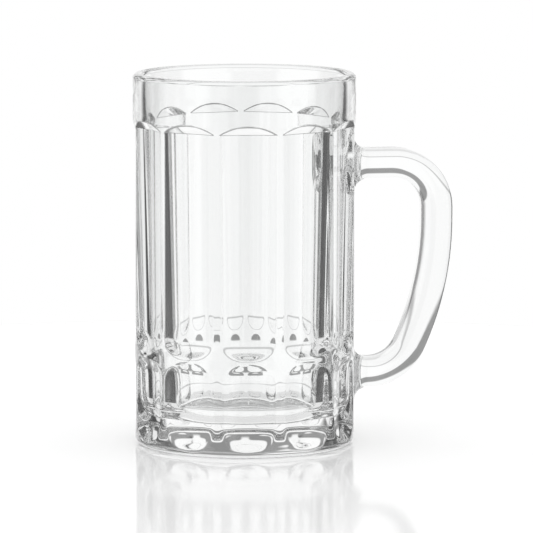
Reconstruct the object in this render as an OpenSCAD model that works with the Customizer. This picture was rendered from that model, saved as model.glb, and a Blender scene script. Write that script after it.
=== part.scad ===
// Glass beer mug: a thick pressed body with a ring of upright flutes above a ring of thumb dimples,
// and a glass handle that is fused to the body at two flared roots.
// Millimetres, +Z up. The origin is on the body's axis at table height, and the handle points to +X.

/* [Body] */
// Height from the table to the top of the lip
body_height = 147; // [138:1:165]
// Outside diameter of the plain band under the lip
band_d = 88; // [78:0.5:98]
// Height of the plain band, with the lip
band_height = 18; // [14:0.5:24]
// Height of the step under the plain band, down to the ribs
band_step = 4; // [2:0.5:8]
// How far the ribs stand back from the plain band
rib_back = 0.5; // [0.3:0.1:1]
// How far the foot stands back from the top of the ribs
foot_back = 0.1; // [0:0.1:1]
// Thickness of the wall at the lip
lip_thick = 4.4; // [4:0.1:6]
// Radius of each rounded edge of the lip
lip_round = 1.9; // [1:0.1:1.9]
// Radius of the rounded corner around the foot
foot_corner = 3; // [1.5:0.5:4]

/* [Inside] */
// Thickness of the wall just above the floor, between two dimples
foot_wall = 9; // [8:0.1:11]
// Thickness of the glass floor
floor_thick = 11.5; // [8:0.5:15]
// Radius of the rounding between floor and wall
floor_round = 8; // [4:0.5:14]
// Width of the flat ring under the foot that the mug stands on
foot_ring = 10.1; // [4:0.1:16]
// Depth of the hollow under the foot
punt_depth = 1.6; // [0.8:0.1:3]

/* [Flutes] */
// Number of flutes, and of the dimples below them
flute_count = 11; // [8:1:12]
// Depth of a flute below the ribs, at its middle
flute_depth = 2.2; // [1.4:0.1:2.5]
// Radius of a flute's hollow, measured across it
flute_round = 75; // [65:1:120]
// Height at which the straight run of the flutes starts
flute_low = 45; // [43:0.5:60]
// Distance from the plain band down to the straight run of the flutes
flute_drop = 3; // [2:0.5:10]
// Radius of the run-out at the top of a flute
flute_top_round = 3.8; // [3:0.1:6]
// Radius of the run-out at the bottom of a flute
flute_foot_round = 11.3; // [6:0.1:14]

/* [Dimples] */
// Depth of a dimple, at its middle
dimple_depth = 2.3; // [1.4:0.1:2.8]
// Radius of a dimple's hollow, measured across it
dimple_round = 50; // [40:1:80]
// Radius of a dimple's hollow, measured up and down at its top
dimple_top_round = 13; // [10:0.5:24]
// Radius of a dimple's hollow, measured up and down at its bottom
dimple_foot_round = 23; // [15:0.5:30]
// Height of the lowest point of the dimples
dimple_low = 2.5; // [2:0.1:5]
// Height of the highest point of the dimples
dimple_high = 36.5; // [32:0.5:38]

/* [Handle] */
// Distance from the top of the lip down to the middle of the upper arm
upper_drop = 36.6; // [30:0.2:42]
// Height of the middle of the lower arm
lower_arm = 27.2; // [26:0.2:36]
// Distance from the ribs out to the middle of the grip
grip_stand = 33.9; // [29:0.1:40]
// Thickness of the grip, seen from the side
grip_thick = 11.7; // [10:0.1:13]
// Width of the grip, seen from behind
grip_width = 15; // [12:0.5:18]
// Radius of the rounded edges of the grip
grip_edge = 4.5; // [2:0.1:4.8]
// Radius of the upper bend, at the middle of the glass
upper_bend = 17.8; // [14:0.2:20]
// Radius of the lower bend, at the middle of the glass
lower_bend = 17.7; // [14:0.2:20]
// Length of the straight run under the upper bend
grip_straight = 5; // [2:0.5:12]
// Radius of the long curve of the grip, at the middle of the glass
grip_curve = 118; // [90:1:160]
// How much thicker and wider the lower bend is than the grip, whose end sits inside it
lower_swell = 0.04; // [0.04:0.02:0.4]
// Radius of the flare at each root
root_flare = 6.2; // [4:0.1:8]
// Distance from the ribs to where a flare runs out on its arm
root_run = 5.7; // [4:0.1:8]
// Depth by which the end of a flare sinks into its arm
root_sink = 0.3; // [0.2:0.1:0.6]

/* [Hidden] */
$fn = 96;

glass_colour = [0.88, 0.93, 0.94, 0.45];

band_r = band_d / 2;
rib_r = band_r - rib_back;
foot_r = rib_r - foot_back;
bore_top_r = band_r - lip_thick;
bore_low_r = foot_r - foot_wall;
lip_low = body_height - lip_round;
band_low = body_height - band_height;
flute_high = band_low - flute_drop;
wall_low = floor_thick + floor_round;

// The hollow under the foot is a shallow cap of a large ball
punt_r = foot_r - foot_corner - foot_ring;
punt_ball = (punt_r * punt_r + punt_depth * punt_depth) / (2 * punt_depth);

// A flute, and the dimple below it, faces the handle
pitch = 360 / flute_count;

// Heights over which the two ends of a dimple run out to the wall
dimple_top_run = sqrt(dimple_depth * (2 * dimple_top_round - dimple_depth));
dimple_foot_run = sqrt(dimple_depth * (2 * dimple_foot_round - dimple_depth));

// Heights and reach of the handle, and the centres of its two bends and of its long curve
upper_arm = body_height - upper_drop;
grip_reach = rib_r + grip_stand;
upper_bend_x = grip_reach - upper_bend;
upper_bend_z = upper_arm - upper_bend;
curve_x = grip_reach - grip_curve;
curve_z = upper_bend_z - grip_straight;
lower_bend_z = lower_arm + lower_bend;
curve_turn = asin((curve_z - lower_bend_z) / (grip_curve - lower_bend));
lower_bend_x = curve_x + (grip_curve - lower_bend) * cos(curve_turn);

// How many degrees of the grip's curve sit inside the lower bend
curve_lap = 0.3;

// Each arm starts inside the wall, and the body's outside then trims it
arm_start = bore_low_r;
root_end = rib_r + root_run;
root_r = grip_thick / 2 - root_sink + root_flare;

// The outside of the body from its foot up to the lip, as points of half its outline
outside_points = [
    [0, 0],
    [foot_r - foot_corner, 0],
    [foot_r - foot_corner, foot_corner],
    [foot_r, foot_corner],
    [rib_r, band_low - band_step],
    [band_r, band_low],
    [band_r, lip_low]
];

// The inside of the body from its lip down to the middle of the floor
inside_points = [
    [bore_top_r, lip_low],
    [bore_low_r, wall_low],
    [bore_low_r, floor_thick],
    [0, floor_thick]
];

// A quarter of a disc, to the right of its centre and above it
module quarter(radius) {
    intersection() {
        circle(radius);
        square(radius);
    }
}

// The rounded corner around the foot
module foot_profile() {
    translate([foot_r - foot_corner, foot_corner])
        mirror([0, 1])
            quarter(foot_corner);
}

// The lip: a narrow flat between two rounded edges
module lip_profile() {
    translate([band_r - lip_round, lip_low])
        quarter(lip_round);
    translate([bore_top_r + lip_round, lip_low]) {
        square([lip_thick - 2 * lip_round, lip_round]);
        mirror([1, 0])
            quarter(lip_round);
    }
}

// The rounding between the floor and the wall
module floor_profile() {
    translate([bore_low_r - floor_round, floor_thick])
        difference() {
            square(floor_round);
            translate([0, floor_round])
                circle(floor_round);
        }
}

// Half of a slice through the body, without its hollows
module wall_profile() {
    polygon(concat(outside_points, inside_points));
    foot_profile();
    lip_profile();
    floor_profile();
}

// Half of the body's outline up to its lip, as if it were solid
module solid_profile() {
    polygon(concat(outside_points, [[0, lip_low]]));
    foot_profile();
}

// An upright barrel whose wall is a hollow's surface, straight from low to high and rounded at both ends
module barrel(radius, low, high, low_round, high_round) {
    rotate_extrude() {
        translate([0, low])
            square([radius, high - low]);
        translate([0, low - low_round])
            square([radius - low_round, low_round]);
        translate([0, high])
            square([radius - high_round, high_round]);
        translate([radius - low_round, low])
            mirror([0, 1])
                quarter(low_round);
        translate([radius - high_round, high])
            quarter(high_round);
    }
}

// What the mould leaves hollow around the body: flutes and dimples, counted from the handle
module hollows(first, last) {
    for (i = [first : last])
        rotate([0, 0, i * pitch]) {
            translate([rib_r - flute_depth + flute_round, 0, 0])
                barrel(flute_round, flute_low, flute_high, flute_foot_round, flute_top_round);
            translate([foot_r - dimple_depth + dimple_round, 0, 0])
                barrel(
                    dimple_round,
                    dimple_low + dimple_foot_run,
                    dimple_high - dimple_top_run,
                    dimple_foot_round,
                    dimple_top_round
                );
        }
}

// The pressed body: fluted wall, dimpled foot, thick floor and a hollow under it
module body() {
    color(glass_colour)
        difference() {
            rotate_extrude()
                wall_profile();
            hollows(0, flute_count - 1);
            translate([0, 0, punt_depth - punt_ball])
                sphere(punt_ball);
        }
}

// The body's outside as one solid lump with the hollows near the handle, which trims the handle's roots
module body_outside() {
    difference() {
        rotate_extrude()
            solid_profile();
        hollows(-1, 1);
    }
}

// Cross-section of the handle: a rectangle with well rounded edges
module grip_section(swell) {
    flat_thick = grip_thick + swell - 2 * grip_edge;
    flat_width = grip_width + swell - 2 * grip_edge;
    square([grip_thick + swell, flat_width], center = true);
    square([flat_thick, grip_width + swell], center = true);
    for (x = [-1, 1], y = [-1, 1])
        translate([x * flat_thick / 2, y * flat_width / 2])
            circle(grip_edge);
}

// A bend of the handle about (x, z), from an angle above the +X direction and through a turn
module bend(x, z, radius, from, turn, swell) {
    translate([x, 0, z])
        rotate([90, 0, 0])
            rotate([0, 0, from])
                rotate_extrude(angle = turn)
                    translate([radius, 0])
                        grip_section(swell);
}

// A level arm of the handle, out to where its bend starts
module arm(z, end, swell) {
    translate([arm_start, 0, z])
        rotate([0, 90, 0])
            linear_extrude(end - arm_start)
                grip_section(swell);
}

// The flare of an arm where it is fused to the body
module root(z) {
    translate([0, 0, z])
        rotate([0, 90, 0])
            rotate_extrude() {
                translate([0, arm_start])
                    square([root_r, root_end - root_flare - arm_start]);
                difference() {
                    translate([0, root_end - root_flare])
                        square([root_r, root_flare]);
                    translate([root_r, root_end])
                        circle(root_flare);
                }
            }
}

// The handle: one bent bar of glass with a flared root at each end, trimmed to the body's outside
module handle() {
    color(glass_colour)
        difference() {
            union() {
                root(upper_arm);
                arm(upper_arm, upper_bend_x, 0);
                bend(upper_bend_x, upper_bend_z, upper_bend, 0, 90, 0);
                translate([grip_reach, 0, curve_z])
                    linear_extrude(grip_straight)
                        grip_section(0);
                bend(curve_x, curve_z, grip_curve, 0, -curve_turn - curve_lap, 0);
                bend(lower_bend_x, lower_bend_z, lower_bend, -90, 90 - curve_turn, lower_swell);
                arm(lower_arm, lower_bend_x, lower_swell);
                root(lower_arm);
            }
            body_outside();
        }
}

body();
handle();
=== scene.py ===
import math

import bmesh
import bpy
from mathutils import Matrix, Vector


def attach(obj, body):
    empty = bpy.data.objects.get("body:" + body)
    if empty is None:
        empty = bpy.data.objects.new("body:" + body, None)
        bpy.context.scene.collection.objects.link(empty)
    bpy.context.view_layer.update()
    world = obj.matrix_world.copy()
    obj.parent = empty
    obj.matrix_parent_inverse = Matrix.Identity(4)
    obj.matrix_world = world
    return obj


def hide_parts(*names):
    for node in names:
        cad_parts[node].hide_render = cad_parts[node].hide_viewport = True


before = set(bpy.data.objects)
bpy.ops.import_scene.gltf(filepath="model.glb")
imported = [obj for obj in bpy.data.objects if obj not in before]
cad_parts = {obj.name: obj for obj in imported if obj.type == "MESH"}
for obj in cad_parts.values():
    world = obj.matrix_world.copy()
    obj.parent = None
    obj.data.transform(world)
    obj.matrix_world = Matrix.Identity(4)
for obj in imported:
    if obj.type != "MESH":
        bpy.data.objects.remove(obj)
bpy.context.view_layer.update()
scene = bpy.context.scene
mm = 0.001

# The pressed body
# One thick lump of clear soda-lime glass, pressed in a mould and then fire-polished, so its edges are soft.
# Its foot is a heavy disc with a shallow hollow below. Eleven dimples ring the foot, and eleven flutes
# stand in line above them, below a plain drinking band.

body_height = 147 * mm
band_r = 44 * mm
band_low = 129 * mm
rib_r = 43.5 * mm
rib_high = 125 * mm
foot_r = 43.4 * mm
foot_corner = 3 * mm
foot_ring = 10.1 * mm
punt_depth = 0.5 * mm
lip_thick = 4.4 * mm
lip_round = 2.1 * mm
floor_thick = 11.5 * mm
floor_round = 8 * mm
foot_wall = 9 * mm
flute_count = 11
columns_per_flute = 44

# How strongly the columns of the mesh crowd towards the ribs between the flutes
rib_gather = 0.6

# Below soft_low a hollow's edge has its low softness, and above soft_high its upper one
soft_low = 40 * mm
soft_high = 50 * mm
flute = {
    "middle_r": 41.3 * mm,
    "round": 75 * mm,
    "low": 45 * mm,
    "high": 126 * mm,
    "low_round": 11.3 * mm,
    "top_slope": 0.8,
    "edge_soft": 0.05 * mm,
    "low_soft": 0.25 * mm,
}
dimple = {
    "middle_r": 41.1 * mm,
    "round": 50 * mm,
    "low": 12.5 * mm,
    "high": 29.1 * mm,
    "low_round": 23 * mm,
    "high_round": 13 * mm,
    "edge_soft": 0.25 * mm,
    "low_soft": 0.25 * mm,
}

# The mesh has finer rings from here up, where the flutes run out into the band
flute_top_low = 121 * mm
band_foot = 2 * mm

# Vertices closer than this are one, and no edge's softening is reckoned past this many times its size
weld = 0.0005 * mm
soft_limit = 60


def rounded_end(past, end_round):
    """How far the rounded end of a hollow has come out of the glass, past its straight run."""
    return end_round - math.sqrt(max(end_round**2 - past**2, 0))


def hollow_radius(hollow, turn, height):
    """Distance from the mug's axis to the surface of a flute or dimple, or None where it doesn't reach."""
    run_out = 0
    if height < hollow["low"]:
        run_out = rounded_end(hollow["low"] - height, hollow["low_round"])
    elif height > hollow["high"] and "top_slope" in hollow:
        run_out = (height - hollow["high"]) * hollow["top_slope"]
    elif height > hollow["high"]:
        run_out = rounded_end(height - hollow["high"], hollow["high_round"])
    barrel_r = hollow["round"] - run_out
    centre = hollow["middle_r"] + hollow["round"]
    reach = barrel_r**2 - (centre * math.sin(turn)) ** 2
    if reach <= 0:
        return None
    return centre * math.cos(turn) - math.sqrt(reach)


def pressed_radius(plain, x, y, z):
    """Radius of the body's outside once the flutes and dimples are pressed in, with softened edges."""
    pitch = 2 * math.pi / flute_count
    turn = (math.atan2(y, x) + pitch / 2) % pitch - pitch / 2
    share = min(max((z - soft_low) / (soft_high - soft_low), 0), 1)
    radius = plain
    for hollow in (dimple, flute):
        soft = hollow["low_soft"] + (hollow["edge_soft"] - hollow["low_soft"]) * share
        total = 1.0
        for near in (turn, turn - pitch, turn + pitch):
            reach = hollow_radius(hollow, near, z)
            if reach is not None:
                total += math.exp(min((radius - reach) / soft, soft_limit))
        radius -= soft * math.log(total)
    return radius


def straight(bm, vert, x, z, steps):
    """Draws an outline on from its last vertex to a point, in equal steps."""
    step = (Vector((x, 0, z)) - vert.co) / steps
    for _ in range(steps):
        vert = bmesh.ops.extrude_vert_indiv(bm, verts=[vert])["verts"][0]
        bmesh.ops.translate(bm, verts=[vert], vec=step)
    return vert


def arc(bm, vert, x, z, turn, steps):
    """Draws an outline on from its last vertex about a centre."""
    made = bmesh.ops.spin(bm, geom=[vert], cent=(x, 0, z), axis=(0, 1, 0), angle=turn, steps=steps)
    return made["geom_last"][0]


def finished(bm, name):
    """Merges the seams, points the faces outwards and puts the mesh in the scene as one smooth object."""
    bmesh.ops.remove_doubles(bm, verts=bm.verts, dist=weld)
    bmesh.ops.recalc_face_normals(bm, faces=bm.faces)
    for face in bm.faces:
        face.smooth = True
    mesh = bpy.data.meshes.new(name)
    bm.to_mesh(mesh)
    bm.free()
    obj = bpy.data.objects.new(name, mesh)
    scene.collection.objects.link(obj)
    return obj


def wall_r(z):
    """Radius of the outside over the ribs and lands, below the plain band."""
    share = (z - foot_corner) / (rib_high - foot_corner)
    return foot_r + (rib_r - foot_r) * share


punt_r = foot_r - foot_corner - foot_ring
bore_top_r = band_r - lip_thick
bore_low_r = foot_r - foot_wall
lip_low = body_height - lip_round
quarter_turn = math.pi / 2

bm = bmesh.new()
tip = bm.verts.new((0, 0, punt_depth))
tip = straight(bm, tip, punt_r, 0, steps=10)
tip = straight(bm, tip, foot_r - foot_corner, 0, steps=3)
tip = arc(bm, tip, foot_r - foot_corner, foot_corner, -quarter_turn, steps=8)
tip = straight(bm, tip, wall_r(soft_low), soft_low, steps=44)
tip = straight(bm, tip, wall_r(soft_high), soft_high, steps=22)
tip = straight(bm, tip, wall_r(flute_top_low), flute_top_low, steps=12)
tip = straight(bm, tip, rib_r, rib_high, steps=6)
tip = straight(bm, tip, band_r, band_low, steps=20)
tip = straight(bm, tip, band_r, band_low + band_foot, steps=4)
tip = straight(bm, tip, band_r, lip_low, steps=5)
tip = arc(bm, tip, band_r - lip_round, lip_low, -quarter_turn, steps=12)
tip = straight(bm, tip, bore_top_r + lip_round, body_height, steps=1)
tip = arc(bm, tip, bore_top_r + lip_round, lip_low, -quarter_turn, steps=12)
tip = straight(bm, tip, bore_low_r, floor_thick + floor_round, steps=16)
tip = arc(bm, tip, bore_low_r - floor_round, floor_thick + floor_round, quarter_turn, steps=10)
tip = straight(bm, tip, 0, floor_thick, steps=6)
bmesh.ops.spin(
    bm,
    geom=bm.verts[:] + bm.edges[:],
    cent=(0, 0, 0),
    axis=(0, 0, 1),
    angle=2 * math.pi,
    steps=flute_count * columns_per_flute,
    use_merge=True,
)

# The plain lump is pressed: a shallow cap of a large ball under the foot, flutes and dimples around it
punt_ball = (punt_r**2 + punt_depth**2) / (2 * punt_depth)
for vert in bm.verts:
    column = math.atan2(vert.co.y, vert.co.x)
    gather = math.sin(flute_count * column) * rib_gather / flute_count
    vert.co.rotate(Matrix.Rotation(gather, 3, "Z"))
    radius = math.hypot(vert.co.x, vert.co.y)
    if vert.co.z < foot_corner and radius < punt_r:
        vert.co.z = punt_depth - punt_ball + math.sqrt(punt_ball**2 - radius**2)
    if radius > bore_top_r and vert.co.z < lip_low:
        pressed = pressed_radius(radius, *vert.co) / radius
        vert.co.x *= pressed
        vert.co.y *= pressed
body = finished(bm, "glass_body")

# Clear glass with a trace of green, faint waves and hardly any haze
clear_glass = bpy.data.materials.new("clear_glass")
clear_glass.use_nodes = True
tree = clear_glass.node_tree
shader = tree.nodes["Principled BSDF"]
shader.inputs["IOR"].default_value = 1.52
shader.inputs["Transmission Weight"].default_value = 1
place = tree.nodes.new("ShaderNodeTexCoord")
ripple = tree.nodes.new("ShaderNodeTexNoise")
ripple.inputs["Scale"].default_value = 60
ripple.inputs["Detail"].default_value = 1
tree.links.new(place.outputs["Object"], ripple.inputs["Vector"])
tint = tree.nodes.new("ShaderNodeValToRGB")
tint.color_ramp.elements[0].color = (0.985, 0.995, 0.992, 1)
tint.color_ramp.elements[1].color = (1, 1, 1, 1)
tree.links.new(ripple.outputs["Fac"], tint.inputs["Fac"])
tree.links.new(tint.outputs["Color"], shader.inputs["Base Color"])
polish = tree.nodes.new("ShaderNodeMapRange")
polish.inputs["To Min"].default_value = 0
polish.inputs["To Max"].default_value = 0.01
tree.links.new(ripple.outputs["Fac"], polish.inputs["Value"])
tree.links.new(polish.outputs["Result"], shader.inputs["Roughness"])
wave = tree.nodes.new("ShaderNodeBump")
wave.inputs["Strength"].default_value = 1
wave.inputs["Distance"].default_value = 0.008 * mm
tree.links.new(ripple.outputs["Fac"], wave.inputs["Height"])
tree.links.new(wave.outputs["Normal"], shader.inputs["Normal"])

# Where the handle is fused on there is no surface to see
fused_joint = bpy.data.materials.new("fused_joint")
fused_joint.use_nodes = True
shader = fused_joint.node_tree.nodes["Principled BSDF"]
shader.inputs["Alpha"].default_value = 0

# The handle
# One bar of the same glass with rounded edges, bent hot into an open hook and swept inwards at the bottom.
# Its two flared ends are fused to the body, so the glass runs through each joint without a surface.

grip_thick = 11.7 * mm
grip_width = 15 * mm
grip_edge = 4.2 * mm
grip_reach = 77.4 * mm
upper_arm = 110.4 * mm
lower_arm = 27.2 * mm
upper_bend = 17.8 * mm
lower_bend = 17.7 * mm
grip_straight = 5 * mm
grip_curve = 118 * mm
root_flare = 6.2 * mm
root_end = 49.2 * mm
root_start = 37.5 * mm
root_steps = 14
flare_side_share = 0.8
shortest_flat = 1.5 * mm

upper_bend_x = grip_reach - upper_bend
curve_z = upper_arm - upper_bend - grip_straight
curve_x = grip_reach - grip_curve
lower_bend_z = lower_arm + lower_bend
curve_turn = math.asin((curve_z - lower_bend_z) / (grip_curve - lower_bend))
lower_bend_x = curve_x + (grip_curve - lower_bend) * math.cos(curve_turn)


def end_face(bm, old_end, made):
    """The bar's new end face, once the old one inside it is taken out."""
    bmesh.ops.delete(bm, geom=[old_end], context="FACES_ONLY")
    return next(item for item in made if isinstance(item, bmesh.types.BMFace))


def drawn(bm, end, offset):
    """Draws the bar out straight from its end face."""
    made = bmesh.ops.extrude_face_region(bm, geom=[end])["geom"]
    verts = [item for item in made if isinstance(item, bmesh.types.BMVert)]
    bmesh.ops.translate(bm, verts=verts, vec=offset)
    return end_face(bm, end, made)


def bent(bm, end, centre_x, centre_z, turn, steps):
    """Bends the bar on from its end face, about a centre in the handle's upright plane."""
    made = bmesh.ops.spin(
        bm,
        geom=[end],
        cent=(centre_x, 0, centre_z),
        axis=(0, 1, 0),
        angle=turn,
        steps=steps,
    )["geom_last"]
    return end_face(bm, end, made)


def flare(bm, arm_z):
    """Swells the rings of an arm towards the wall, and curves them round the body."""
    for vert in bm.verts:
        near = root_end - vert.co.x
        if near <= 0 or abs(vert.co.z - arm_z) > grip_thick:
            continue
        run = min(near, root_flare)
        swell = root_flare - math.sqrt(root_flare**2 - run**2)
        vert.co.z = arm_z + (vert.co.z - arm_z) * (1 + swell * 2 / grip_thick)
        vert.co.y *= 1 + flare_side_share * swell * 2 / grip_width
        hug = run / root_flare
        vert.co.x -= (rib_r - math.sqrt(rib_r**2 - vert.co.y**2)) * hug


bm = bmesh.new()
section = bmesh.ops.create_grid(bm, x_segments=1, y_segments=1, size=0.5)["verts"]
bmesh.ops.scale(bm, vec=(grip_thick, grip_width, 1), verts=section)
bmesh.ops.rotate(bm, verts=section, matrix=Matrix.Rotation(quarter_turn, 3, "Y"))
bmesh.ops.translate(bm, verts=section, vec=(root_start, 0, upper_arm))
bmesh.ops.bevel(
    bm,
    geom=section,
    offset=grip_edge,
    offset_type="OFFSET",
    segments=7,
    profile=0.5,
    affect="VERTICES",
    material=-1,
)
flats = [edge for edge in bm.edges if edge.calc_length() > shortest_flat]
bmesh.ops.subdivide_edges(bm, edges=flats, cuts=2)
bm.faces.ensure_lookup_table()
end = bm.faces[0]
for _ in range(root_steps):
    end = drawn(bm, end, ((root_end - root_start) / root_steps, 0, 0))
end = drawn(bm, end, (upper_bend_x - root_end, 0, 0))
end = bent(bm, end, upper_bend_x, upper_arm - upper_bend, quarter_turn, steps=20)
end = drawn(bm, end, (0, 0, -grip_straight))
end = bent(bm, end, curve_x, curve_z, curve_turn, steps=14)
end = bent(bm, end, lower_bend_x, lower_bend_z, quarter_turn - curve_turn, steps=16)
for _ in range(root_steps):
    end = drawn(bm, end, ((root_start - lower_bend_x) / root_steps, 0, 0))
bmesh.ops.holes_fill(bm, edges=bm.edges)
flare(bm, upper_arm)
flare(bm, lower_arm)
for face in bm.faces:
    face.material_index = 1
handle = finished(bm, "glass_handle")

# The roots are cut to the body's outside, and each piece closes its joints with the same two faces


def combined(obj, other, operation):
    """One piece's mesh added to another or trimmed by it, whose faces keep their material numbers."""
    cut = obj.modifiers.new("joint", "BOOLEAN")
    cut.operation = operation
    cut.solver = "EXACT"
    cut.object = other
    seen = obj.evaluated_get(bpy.context.evaluated_depsgraph_get())
    bm = bmesh.new()
    bm.from_mesh(seen.to_mesh())
    seen.to_mesh_clear()
    obj.modifiers.remove(cut)
    return bm


def settled(bm, obj):
    """Puts a piece's mesh back in its object, with a sharp edge around each joint."""
    bmesh.ops.remove_doubles(bm, verts=bm.verts, dist=weld)
    for edge in bm.edges:
        edge.smooth = len({face.material_index for face in edge.link_faces}) == 1
    bm.to_mesh(obj.data)


for piece in (body, handle):
    piece.data.materials.append(clear_glass)
    piece.data.materials.append(fused_joint)
fused = combined(body, handle, "UNION")
trimmed = combined(handle, body, "DIFFERENCE")
for face in trimmed.faces:
    face.material_index = 1 - face.material_index
settled(trimmed, handle)
handle_skin = [face for face in trimmed.faces if face.material_index == 0]
bmesh.ops.delete(trimmed, geom=handle_skin, context="FACES")
bmesh.ops.reverse_faces(trimmed, faces=trimmed.faces)
joint_faces = bpy.data.meshes.new("joint_faces")
trimmed.to_mesh(joint_faces)
handle_skin = [face for face in fused.faces if face.material_index == 1]
bmesh.ops.delete(fused, geom=handle_skin, context="FACES")
fused.from_mesh(joint_faces)
settled(fused, body)
trimmed.free()
fused.free()
bpy.data.meshes.remove(joint_faces)

for piece, node in ((body, "body"), (handle, "handle")):
    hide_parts(node)
    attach(piece, "root")

# The set
# A white table top in a dark room, lit the way glass is lit in a studio. Large soft screens stand around
# the mug, those behind it show through the glass, and the dark gaps between the screens draw its edges.

table_r = 360 * mm
table_white = 0.93
sky_level = 1.2
room_level = 0.08
camera_distance = 1950 * mm
camera_height = 310 * mm
look_x = 8.7 * mm
look_z = 70 * mm
camera_turn = math.radians(10.5)
focal_pixels = 4970
frame_pixels = 533
sensor_width = 36

bm = bmesh.new()
bmesh.ops.create_circle(bm, cap_ends=True, segments=96, radius=table_r)
table = finished(bm, "table_top")
table.visible_transmission = False
table.visible_glossy = False

table_paint = bpy.data.materials.new("table_white")
table_paint.use_nodes = True
tree = table_paint.node_tree
shader = tree.nodes["Principled BSDF"]
shader.inputs["Base Color"].default_value = (table_white, table_white, table_white, 1)
shader.inputs["Roughness"].default_value = 0.09
shader.inputs["IOR"].default_value = 1.3
table.data.materials.append(table_paint)

world = bpy.data.worlds.new("studio")
scene.world = world
world.use_nodes = True
tree = world.node_tree


def fed(socket, value):
    """Gives a socket of the world's nodes a link or a plain value."""
    if isinstance(value, bpy.types.NodeSocket):
        tree.links.new(value, socket)
    else:
        socket.default_value = value


def reckoned(operation, first, second):
    """The result of a sum in the world's nodes."""
    node = tree.nodes.new("ShaderNodeMath")
    node.operation = operation
    fed(node.inputs[0], first)
    fed(node.inputs[1], second)
    return node.outputs["Value"]


def stepped(value, low, high):
    """A share that rises from 0 to 1 as a value goes from low to high."""
    node = tree.nodes.new("ShaderNodeMapRange")
    fed(node.inputs["Value"], value)
    fed(node.inputs["From Min"], low)
    fed(node.inputs["From Max"], high)
    return node.outputs["Result"]


def mixed(share, first, second):
    """A level between two levels."""
    node = tree.nodes.new("ShaderNodeMix")
    fed(node.inputs["Factor"], share)
    fed(node.inputs["A"], first)
    fed(node.inputs["B"], second)
    return node.outputs["Result"]


def screen(level, shine, bearings, slopes, soft):
    """Hangs a screen of one brightness between two bearings and two slopes, with soft edges."""
    soft_bearing, soft_slope = soft
    share = stepped(bearing, bearings[0] - soft_bearing, bearings[0])
    share = reckoned("MULTIPLY", share, stepped(bearing, bearings[1] + soft_bearing, bearings[1]))
    share = reckoned("MULTIPLY", share, stepped(slope, slopes[0] - soft_slope, slopes[0]))
    share = reckoned("MULTIPLY", share, stepped(slope, slopes[1] + soft_slope, slopes[1]))
    return mixed(share, level, shine)


# Bearings are degrees from +Y towards the handle, so the camera looks along 10.5. Slopes are the upward
# part of a direction.
aim = tree.nodes.new("ShaderNodeTexCoord")
parts = tree.nodes.new("ShaderNodeSeparateXYZ")
fed(parts.inputs["Vector"], aim.outputs["Generated"])
radians = reckoned("ARCTAN2", parts.outputs["X"], parts.outputs["Y"])
bearing = reckoned("MULTIPLY", radians, 180 / math.pi)
slope = parts.outputs["Z"]
all_round = (-200, 200)

# The table all round the mug, and a dim ceiling
level = screen(room_level, shine=0.8, bearings=all_round, slopes=(-1.2, -0.34), soft=(4, 0.05))
level = screen(level, shine=0.25, bearings=all_round, slopes=(0.6, 1.2), soft=(4, 0.2))

# Behind the mug: a grey strip above eye level between two white screens, with a faint line in the lower one
level = screen(level, shine=0.3, bearings=(-22, 42), slopes=(0, 0.3), soft=(8, 0.05))
level = screen(level, shine=1.0, bearings=(-22, 42), slopes=(-0.6, 0), soft=(8, 0.03))
level = screen(level, shine=1.0, bearings=(-35, 55), slopes=(0.26, 0.75), soft=(8, 0.05))
level = screen(level, shine=0.55, bearings=(-25, 45), slopes=(-0.27, -0.26), soft=(8, 0.025))

# Two white screens at the sides, to the left of the mug and to the right of the camera
level = screen(level, shine=1.0, bearings=(-129, -75), slopes=(-0.36, 0.4), soft=(6, 0.05))
level = screen(level, shine=1.0, bearings=(116, 172), slopes=(-0.36, 0.4), soft=(6, 0.05))

# Light that was mirrored last finds the grey strip white straight behind the mug. Matt surfaces get an even
# light instead of the screens, and the camera itself sees plain white.
path = tree.nodes.new("ShaderNodeLightPath")
through = reckoned("MAXIMUM", path.outputs["Is Glossy Ray"], path.outputs["Is Transmission Ray"])
mirrored = screen(level, shine=1.0, bearings=(-5, 26), slopes=(-0.1, 0.4), soft=(8, 0.05))
level = mixed(path.outputs["Is Transmission Ray"], mirrored, level)
level = mixed(through, sky_level, level)
level = mixed(reckoned("MINIMUM", path.outputs["Diffuse Depth"], 1), level, sky_level)
level = mixed(path.outputs["Is Camera Ray"], level, 1.0)
fed(tree.nodes["Background"].inputs["Strength"], level)
tree.nodes["Background"].inputs["Color"].default_value = (1, 1, 1, 1)

# The camera stands far off and a little above the mug, turned so that the handle points away from it
camera = bpy.data.objects.new("camera", bpy.data.cameras.new("camera"))
camera.data.sensor_width = sensor_width
camera.data.lens = focal_pixels * sensor_width / frame_pixels
camera.data.clip_end = 50
swing = Matrix.Rotation(-camera_turn, 3, "Z")
spot = swing @ Vector((look_x, -camera_distance, camera_height))
target = swing @ Vector((look_x, 0, look_z))
camera.location = spot
camera.rotation_euler = (target - spot).to_track_quat("-Z", "Y").to_euler()
scene.collection.objects.link(camera)
scene.camera = camera
scene.view_settings.view_transform = "Standard"
scene.cycles.max_bounces = 32
scene.cycles.transmission_bounces = 24
scene.cycles.glossy_bounces = 16
